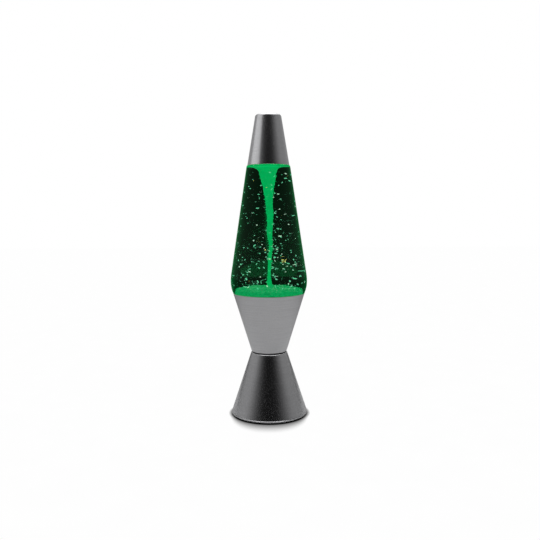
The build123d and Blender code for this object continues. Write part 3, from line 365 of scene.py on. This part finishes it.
def closedTurn(rings, around):  # a closed skin: a pole, a stack of rings of (radius, height, x, y), a pole
    verts = [(rings[0][2], rings[0][3], rings[0][1])]
    for radius, height, x, y in rings[1:-1]:
        verts += [(x + radius(k) * cos(2 * pi * k / around), y + radius(k) * sin(2 * pi * k / around), height)
                  for k in range(around)]
    verts.append((rings[-1][2], rings[-1][3], rings[-1][1]))
    last = len(verts) - 1
    faces = [(0, 1 + (k + 1) % around, 1 + k) for k in range(around)]
    for row in range(len(rings) - 3):
        low, high = 1 + row * around, 1 + (row + 1) * around
        faces += [(low + k, low + (k + 1) % around, high + (k + 1) % around, high + k) for k in range(around)]
    high = 1 + (len(rings) - 3) * around
    faces += [(high + k, high + (k + 1) % around, last) for k in range(around)]
    return verts, faces


def even(radius):  # the same radius all the way round
    return lambda k: radius


def smoothThrough(points, height):  # a smooth curve's value at a height, through (height, value), top first
    if height >= points[0][0]:
        return points[0][1]
    for i in range(len(points) - 1):
        (za, a), (zb, b) = points[i], points[i + 1]
        if height >= zb:
            before = points[i - 1] if i else points[i]
            after = points[i + 2] if i + 2 < len(points) else points[i + 1]
            t = (za - height) / (za - zb)
            slopeA = (b - before[1]) / (before[0] - zb) * (za - zb) if before[0] > zb else 0
            slopeB = (after[1] - a) / (za - after[0]) * (za - zb) if za > after[0] else 0
            return ((2 * t ** 3 - 3 * t ** 2 + 1) * a + (t ** 3 - 2 * t ** 2 + t) * slopeA
                    + (3 * t ** 2 - 2 * t ** 3) * b + (t ** 3 - t ** 2) * slopeB)
    return points[-1][1]


# the water fills the bottle to its inner wall, and laps a little into the glass so that no air shows between

water = {"overlap": 0.15 * mm, "around": 160, "corner": 0.2 * mm}
waterLow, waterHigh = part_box("glitter_water")
outline = sorted((round(v.co.z, 6), hypot(v.co.x, v.co.y) + water["overlap"])
                 for v in frame["nodes"]["glitter_water"].data.vertices)
wall = []  # the outline's convex side: the bottle's inner wall, without the hollows for heap and funnel
for z, r in outline:
    while len(wall) > 1 and ((wall[-1][0] - wall[-2][0]) * (r - wall[-2][1])
                             >= (wall[-1][1] - wall[-2][1]) * (z - wall[-2][0])):
        wall.pop()
    wall.append((z, r))
wall = [point for point in wall if waterLow.z + water["corner"] < point[0] < waterHigh.z - water["corner"]]


def waterRadius(height):  # the water's outer radius at a height
    for (za, ra), (zb, rb) in zip(wall, wall[1:]):
        if za <= height <= zb:
            return ra + (rb - ra) * (height - za) / (zb - za)
    (za, ra), (zb, rb) = wall[:2] if height < wall[0][0] else wall[-2:]
    return ra + (rb - ra) * (height - za) / (zb - za)


ends = [waterLow.z, waterLow.z + water["corner"]], [waterHigh.z - water["corner"], waterHigh.z]
wall = [(z, waterRadius(z)) for z in ends[0]] + wall + [(z, waterRadius(z)) for z in ends[1]]
rings = [(None, waterLow.z, 0, 0)] + [(even(r), z, 0, 0) for z, r in wall] + [(None, waterHigh.z, 0, 0)]
verts, faces = closedTurn(rings, water["around"])
waterPiece = addPiece("glitterWater", verts, faces, tintedWater, "bottle", "glitter_water")
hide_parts("glitter_water")
print("water:", len(wall), "rings")

# the whirl: an air core whose wall has a painted glow, from the water's surface down to the heap

whirl = {
    "around": 40, "step": 1.0 * mm, "lipStep": 0.15 * mm, "lipRings": 14, "ragged": 0.5 * mm,
    "raggedMost": 0.22, "evenFrom": 11 * mm, "crown": 0.02 * mm, "tip": 0.4 * mm, "seed": 11,
    "radius": [(298.1, 22.2), (297.7, 17.0), (296.9, 12.4), (294.6, 9.2), (291.0, 7.5), (286.0, 6.9),
               (281.0, 6.2), (276.5, 5.2), (269.0, 4.3), (262.0, 3.5), (252.0, 2.8), (243.0, 2.9),
               (234.0, 2.3), (226.0, 2.3), (214.0, 1.9), (206.0, 1.35), (195.0, 1.35), (182.0, 1.4),
               (171.0, 1.2), (163.0, 1.7), (157.0, 2.4)],
    "swayX": [(298.1, -2.0), (293.0, -0.8), (284.0, -0.5), (276.0, 0.0), (266.0, 0.1), (256.0, 0.5),
              (246.0, 0.9), (238.0, 1.4), (228.0, 1.2), (216.0, 0.9), (207.0, 1.9), (200.0, 1.6),
              (190.0, 1.1), (182.0, 0.7), (171.0, 0.3), (157.0, 0.6)],
    "swayY": [(298.1, 0.0), (262.0, 0.6), (236.0, -0.8), (212.0, 0.9), (188.0, -0.9), (157.0, 0.3)],
}  # (height, value) in millimetres, top first


def whirlAt(height):  # radius and centre of the whirl at a height, in metres
    z = height / mm
    return [smoothThrough(whirl[key], z) * mm for key in ("radius", "swayX", "swayY")]


rng = random.Random(whirl["seed"])
top, foot = whirl["radius"][0][0] * mm, whirl["radius"][-1][0] * mm
levels = [top - whirl["lipStep"] * k for k in range(whirl["lipRings"])]
while levels[-1] - whirl["step"] > foot:
    levels.append(levels[-1] - whirl["step"])
rings = [(None, top + whirl["crown"], whirlAt(top)[1], whirlAt(top)[2])]
for height in levels:
    radius, x, y = whirlAt(height)
    rough = min(whirl["ragged"], whirl["raggedMost"] * radius) if radius < whirl["evenFrom"] else 0
    spread = [radius + rng.uniform(-rough, rough) for k in range(whirl["around"])]
    rings.append((spread.__getitem__, height, x, y))
rings.append((None, foot - whirl["tip"], rings[-1][2], rings[-1][3]))
verts, faces = closedTurn(rings, whirl["around"])
faces = [tuple(reversed(f)) for f in faces]
addPiece("whirl", verts, faces, whirlFilm, "bottle", "glitter")
print("whirl:", len(levels), "rings")

# the heap of glitter over the guard, its light from below given as a painted glow

bed = {"around": 120, "rows": 26, "wallRows": 8, "edge": 153.5 * mm, "drop": 0.3 * mm, "frayed": 0.35 * mm,
       "lumps": 0.75 * mm, "unevenness": (-1.4, 0.4), "dip": 0.5 * mm,
       "full": (3.2, 0.6), "packed": 0.8, "seed": 5}
bedLow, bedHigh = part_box("glitter_bed")
bedRadius = bedHigh.x
bedCrown = bedHigh.z - bed["edge"]


def bedTop(radius):  # the heap's height at a radius
    wide, blunt = bed["full"]
    return bed["edge"] + bedCrown * (1 - min(radius / bedRadius, 1) ** wide) ** blunt


rng = random.Random(bed["seed"])
rings = [(None, bedLow.z, 0, 0)]
for row in range(bed["wallRows"] + 1):
    height = bedLow.z + (bed["edge"] - bed["drop"] - bedLow.z) * row / bed["wallRows"]
    spread = [bedRadius + rng.uniform(-bed["frayed"], 0.0) for k in range(bed["around"])]
    rings.append((spread.__getitem__, height, 0, 0))
for row in range(1, bed["rows"]):  # the heaped top, ring by ring inwards
    radius = bedRadius * (1 - row / bed["rows"]) ** bed["packed"]
    rings.append((even(radius), bedTop(radius), 0, 0))
rings.append((None, bedTop(0) - bed["dip"], 0, 0))
verts, faces = closedTurn(rings, bed["around"])
firstTop = 1 + (bed["wallRows"] + 1) * bed["around"]
verts[firstTop:-1] = [(x, y, z + rng.uniform(*bed["unevenness"]) * bed["lumps"])
                      for x, y, z in verts[firstTop:-1]]
bedPiece = addPiece("glitterBed", verts, faces, bedFlakes, "bottle", "glitter", smooth=False)
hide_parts("glitter_bed")
print("bed:", len(faces), "faces")


def addFlake(store, centre, turn, look, rng):  # a thin six-sided foil, closed, of a random size
    length, width = rng.uniform(*look["length"]) * mm, rng.uniform(*look["width"]) * mm
    verts, faces = store
    start = len(verts)
    halfThick = 0.05 * mm
    corners = [(-0.5, 0), (-0.3, -0.5), (0.3, -0.5), (0.5, 0), (0.3, 0.5), (-0.3, 0.5)]
    for side in (-halfThick, halfThick):
        verts += [tuple(centre + turn @ Vector((a * length, b * width, side))) for a, b in corners]
    faces.append(tuple(start + k for k in (5, 4, 3, 2, 1, 0)))
    faces.append(tuple(start + 6 + k for k in range(6)))
    faces += [(start + k, start + (k + 1) % 6, start + 6 + (k + 1) % 6, start + 6 + k) for k in range(6)]


flakes = {
    "count": 270, "seed": 23, "offWall": 2.5 * mm, "offWhirl": 1.5 * mm, "low": 3 * mm, "high": 2 * mm,
    "fewest": 0.16, "crowding": 2.2,  # few near the surface, crowded over the heap
    "length": (1.4, 3.0), "width": (0.8, 1.3), "tumble": (1.2, 0.45, 0.5),
    "share": {"green": 0.80, "pale": 0.18, "gold": 0.02},
    "knot": {"at": (13.5 * mm, -9 * mm, 185.6 * mm), "count": 7, "spread": 2.2, "tumble": (1.2, 0.6)},
}
rng = random.Random(flakes["seed"])
stores = {kind: ([], []) for kind in flakes["share"]}
kinds, shares = list(flakes["share"]), list(flakes["share"].values())
roll, pitch, yaw = flakes["tumble"]
placed = 0
while placed < flakes["count"]:
    rise = rng.random()
    if rng.random() > flakes["fewest"] + (1 - flakes["fewest"]) * (1 - rise) ** flakes["crowding"]:
        continue
    height = bedHigh.z - flakes["low"] + rise * (waterHigh.z - bedHigh.z - flakes["high"])
    core, x, y = whirlAt(max(height, foot))
    outer = waterRadius(height) - flakes["offWall"]
    inner = core + flakes["offWhirl"]
    if outer <= inner:
        continue
    radius, angle = sqrt(rng.uniform(inner ** 2, outer ** 2)), rng.uniform(0, 2 * pi)
    centre = Vector((x + radius * cos(angle), y + radius * sin(angle), height))
    if hypot(centre.x, centre.y) > outer:
        continue
    turn = Euler((rng.gauss(0, roll), rng.gauss(0, pitch), angle + pi / 2 + rng.gauss(0, yaw))).to_matrix()
    kind = rng.choices(kinds, shares)[0]
    addFlake(stores[kind], centre, turn, flakes, rng)
    placed += 1
knot = flakes["knot"]
roll, pitch = knot["tumble"]
for i in range(knot["count"]):  # a knot of gold flakes low on the right
    centre = Vector(knot["at"]) + Vector([rng.gauss(0, knot["spread"]) * mm for way in "xyz"])
    turn = Euler((rng.gauss(0, roll), rng.gauss(0, pitch), rng.uniform(0, pi))).to_matrix()
    addFlake(stores["gold"], centre, turn, flakes, rng)
for kind, material in (("green", greenFoil), ("pale", paleFoil), ("gold", goldFoil)):
    addPiece(kind + "Glitter", *stores[kind], material, "bottle", "glitter", smooth=False)

skinFlakes = {
    "seed": 31,
    "whirl": {"count": 230, "length": (2.0, 3.6), "width": (0.7, 1.2), "tumble": (0.9, 0.35, 0.6),
              "gathering": 1.1, "belowTop": 6 * mm},
    "bed": {"count": 460, "length": (1.2, 2.6), "width": (0.8, 1.3), "offEdge": 1 * mm, "lean": 0.6,
            "depth": (-0.6, 0.3)},
}
rng = random.Random(skinFlakes["seed"])
store, look = ([], []), skinFlakes["whirl"]
roll, pitch, yaw = look["tumble"]
for i in range(look["count"]):  # flakes caught in the whirl's wall
    height = foot + rng.random() ** look["gathering"] * (top - foot - look["belowTop"])
    radius, x, y = whirlAt(height)
    angle = rng.uniform(0, 2 * pi)
    centre = Vector((x + radius * cos(angle), y + radius * sin(angle), height))
    turn = Euler((rng.gauss(0, roll), rng.gauss(0, pitch), angle + rng.gauss(0, yaw))).to_matrix()
    addFlake(store, centre, turn, look, rng)
addPiece("whirlGlitter", *store, whirlFilm, "bottle", "glitter", smooth=False)
store, look = ([], []), skinFlakes["bed"]
for i in range(look["count"]):  # flakes that stand up out of the heap
    radius, angle = (bedRadius - look["offEdge"]) * sqrt(rng.random()), rng.uniform(0, 2 * pi)
    height = bedTop(radius) + rng.uniform(*look["depth"]) * mm
    centre = Vector((radius * cos(angle), radius * sin(angle), height))
    lean = look["lean"]
    turn = Euler((rng.uniform(0, pi), rng.uniform(-lean, lean), rng.uniform(0, pi))).to_matrix()
    addFlake(store, centre, turn, look, rng)
addPiece("bedGlitter", *store, bedFlakes, "bottle", "glitter", smooth=False)
print("flakes:", placed, "loose,", skinFlakes["whirl"]["count"] + skinFlakes["bed"]["count"], "caught")

view = {"distance": 722.0 * mm, "height": 239.8 * mm, "side": 1.4 * mm, "down": 5.058, "roll": -0.24,
        "lens": 40.0, "sensor": 36.0}
camera = bpy.data.objects.new("camera", bpy.data.cameras.new("camera"))
bpy.context.scene.collection.objects.link(camera)
camera.data.lens = view["lens"]
camera.data.sensor_width = view["sensor"]
camera.matrix_world = (Matrix.Translation((view["side"], -view["distance"], view["height"]))
                       @ Matrix.Rotation(radians(90 - view["down"]), 4, "X")
                       @ Matrix.Rotation(radians(view["roll"]), 4, "Z"))
bpy.context.scene.camera = camera


def addSoftbox(name, look, only=()):  # an area light that no camera sees, on all pieces or only on some
    data = bpy.data.lights.new(name, "AREA")
    data.shape = "RECTANGLE"
    data.size, data.size_y = look["size"]
    data.energy = look["watts"]
    data.color = linear(look["colour"])[:3]
    light = bpy.data.objects.new(name, data)
    light.location = look["at"]
    light.rotation_euler = (Vector(look["aim"]) - Vector(look["at"])).to_track_quat("-Z", "Y").to_euler()
    light.visible_camera = False
    if only:
        light.light_linking.receiver_collection = bpy.data.collections.new(name + "Receivers")
        for node in only:
            light.light_linking.receiver_collection.objects.link(frame["nodes"][node])
    bpy.context.scene.collection.objects.link(light)


lights = {
    "overheadBox": {"at": (0, 0.1, 1.7), "aim": (0, 0, 0), "size": (2.4, 2.4), "watts": 36,
                    "colour": "#ffffff"},
    "leftHighBox": {"at": (-0.54, -0.07, 0.56), "aim": (0, 0, 0.33), "size": (0.6, 0.3), "watts": 0.30,
                    "colour": "#ffffff"},
}
addSoftbox("overheadBox", lights["overheadBox"])
addSoftbox("leftHighBox", lights["leftHighBox"], ["cap"])
print("lights:", len(lights))

board = {
    "reach": 4.0, "dustSize": 40.0, "dusty": (0.985, 1.0),
    "forward": (-0.3, -1.0), "shadow": (4.5 * mm, 30 * mm), "shadowStart": 2.0, "paintedShadowDepth": 4.5,
    "near": 0.22, "far": 0.62, "paintedPoolNear": 0.47, "paintedPoolFar": 0.2, "paintedDarkForGloss": "#0c0c0c",
}
floorMaterial, tree, output = newMaterial("whitePaintedBoard")
rays = addNode(tree, "ShaderNodeLightPath")
side = addNode(tree, "ShaderNodeNewGeometry")
dust = addNode(tree, "ShaderNodeTexNoise", {"Scale": 1 / board["dustSize"]}, {"Vector": patternSpace(tree)})
paint = addNode(tree, "ShaderNodeMapRange", {"To Min": board["dusty"][0], "To Max": board["dusty"][1]},
                {"Value": dust.outputs["Fac"]})
# painted contact shadow: occlusion darkens the board's glow near the lamp, and it is painted to fall forward,
# reaching furthest towards -Y
spot = addNode(tree, "ShaderNodeVectorMath", {"operation": "NORMALIZE"}, {0: side.outputs["Position"]})
ways = addNode(tree, "ShaderNodeSeparateXYZ", None, {0: spot.outputs[0]})
forward = addNode(tree, "ShaderNodeMapRange",
                  {"From Min": board["forward"][0], "From Max": board["forward"][1]},
                  {"Value": ways.outputs["Y"]})
steep = addNode(tree, "ShaderNodeMath", {"operation": "POWER", 1: board["shadowStart"]},
                {0: forward.outputs[0]})
length = addNode(tree, "ShaderNodeMapRange", {"To Min": board["shadow"][0], "To Max": board["shadow"][1]},
                 {"Value": steep.outputs[0]})
shut = addNode(tree, "ShaderNodeAmbientOcclusion", {"samples": 32}, {"Distance": length.outputs[0]})
paintedContactShadow = addNode(tree, "ShaderNodeMath", {"operation": "POWER", 1: board["paintedShadowDepth"]},
                  {0: shut.outputs["AO"]})
level = addNode(tree, "ShaderNodeMath", {"operation": "MULTIPLY"},
                {0: paintedContactShadow.outputs[0], 1: paint.outputs[0]})
bright = addNode(tree, "ShaderNodeEmission", {"Color": (1, 1, 1, 1)}, {"Strength": level.outputs[0]})
# painted light: as metal sees it, the board is painted lighter round the lamp, a painted pool of light; as
# clear gloss sees it, the board is painted dark
away = addNode(tree, "ShaderNodeVectorMath", {"operation": "LENGTH"}, {0: side.outputs["Position"]})
paintedLightPool = addNode(tree, "ShaderNodeMapRange",
                {"From Min": board["near"], "From Max": board["far"],
                 "To Min": board["paintedPoolNear"], "To Max": board["paintedPoolFar"]}, {"Value": away.outputs["Value"]})
dim = addNode(tree, "ShaderNodeBsdfDiffuse", None, {"Color": paintedLightPool.outputs[0]})
dark = addNode(tree, "ShaderNodeBsdfDiffuse", {"Color": linear(board["paintedDarkForGloss"])})
clear = addNode(tree, "ShaderNodeBsdfTransparent")
lit = addNode(tree, "ShaderNodeMixShader", None,
              {0: rays.outputs["Is Singular Ray"], 1: dim.outputs[0], 2: dark.outputs[0]})
seen = addNode(tree, "ShaderNodeMixShader", None,
               {0: rays.outputs["Is Camera Ray"], 1: lit.outputs[0], 2: bright.outputs[0]})
both = addNode(tree, "ShaderNodeMixShader", None,
               {0: side.outputs["Backfacing"], 1: seen.outputs[0], 2: clear.outputs[0]})
tree.links.new(both.outputs[0], output.inputs["Surface"])
floorMesh = bpy.data.meshes.new("floor")
reach = board["reach"]
corners = [(-reach, -reach, 0), (reach, -reach, 0), (reach, reach, 0), (-reach, reach, 0)]
floorMesh.from_pydata(corners, [], [(0, 1, 2, 3)])
floorMesh.materials.append(floorMaterial)
floor = bpy.data.objects.new("floor", floorMesh)
bpy.context.scene.collection.objects.link(floor)
print("floor laid")

room = {
    "front": -0.94, "back": -0.10, "frontTone": 0.002, "backTone": 0.40, "rightFrom": 0.55, "rightShare": 0.8,
    "glossLoss": -0.92, "liquidLoss": -0.97, "backdrop": 1.0,
}
world = bpy.data.worlds.new("studio")
bpy.context.scene.world = world
world.use_nodes = True
tree = world.node_tree
tree.nodes.clear()
output = tree.nodes.new("ShaderNodeOutputWorld")
rays = addNode(tree, "ShaderNodeLightPath")
way = addNode(tree, "ShaderNodeTexCoord")
parts = addNode(tree, "ShaderNodeSeparateXYZ", None, {0: way.outputs["Generated"]})
walls = addNode(tree, "ShaderNodeMapRange",
                {"interpolation_type": "SMOOTHSTEP", "From Min": room["front"], "From Max": room["back"],
                 "To Min": room["frontTone"], "To Max": room["backTone"]}, {"Value": parts.outputs["Y"]})
rightward = addNode(tree, "ShaderNodeMapRange",
                    {"interpolation_type": "SMOOTHSTEP", "From Min": room["rightFrom"], "From Max": 1.0,
                     "To Min": 1.0, "To Max": room["rightShare"]}, {"Value": parts.outputs["X"]})
walls = addNode(tree, "ShaderNodeMath", {"operation": "MULTIPLY"},
                {0: walls.outputs[0], 1: rightward.outputs[0]})
clearRays = addNode(tree, "ShaderNodeMath", {"operation": "MULTIPLY_ADD", 1: room["glossLoss"], 2: 1.0},
                    {0: rays.outputs["Is Singular Ray"]})  # clear gloss sees a darker room than metal does
share = addNode(tree, "ShaderNodeMath", {"operation": "MULTIPLY_ADD", 1: room["liquidLoss"], 2: 1.0},
                {0: rays.outputs["Is Transmission Ray"]})  # and what is behind the liquid is dark
some = addNode(tree, "ShaderNodeMath", {"operation": "MULTIPLY"},
               {0: clearRays.outputs[0], 1: share.outputs[0]})
level = addNode(tree, "ShaderNodeMath", {"operation": "MULTIPLY"}, {0: some.outputs[0], 1: walls.outputs[0]})
surround = addNode(tree, "ShaderNodeBackground", {"Color": (1, 1, 1, 1)}, {"Strength": level.outputs[0]})
backdrop = addNode(tree, "ShaderNodeBackground", {"Color": (1, 1, 1, 1), "Strength": room["backdrop"]})
both = addNode(tree, "ShaderNodeMixShader", None,
               {0: rays.outputs["Is Camera Ray"], 1: surround.outputs[0], 2: backdrop.outputs[0]})
tree.links.new(both.outputs[0], output.inputs["Surface"])
bpy.context.scene.view_settings.view_transform = "Standard"

print("finishing")
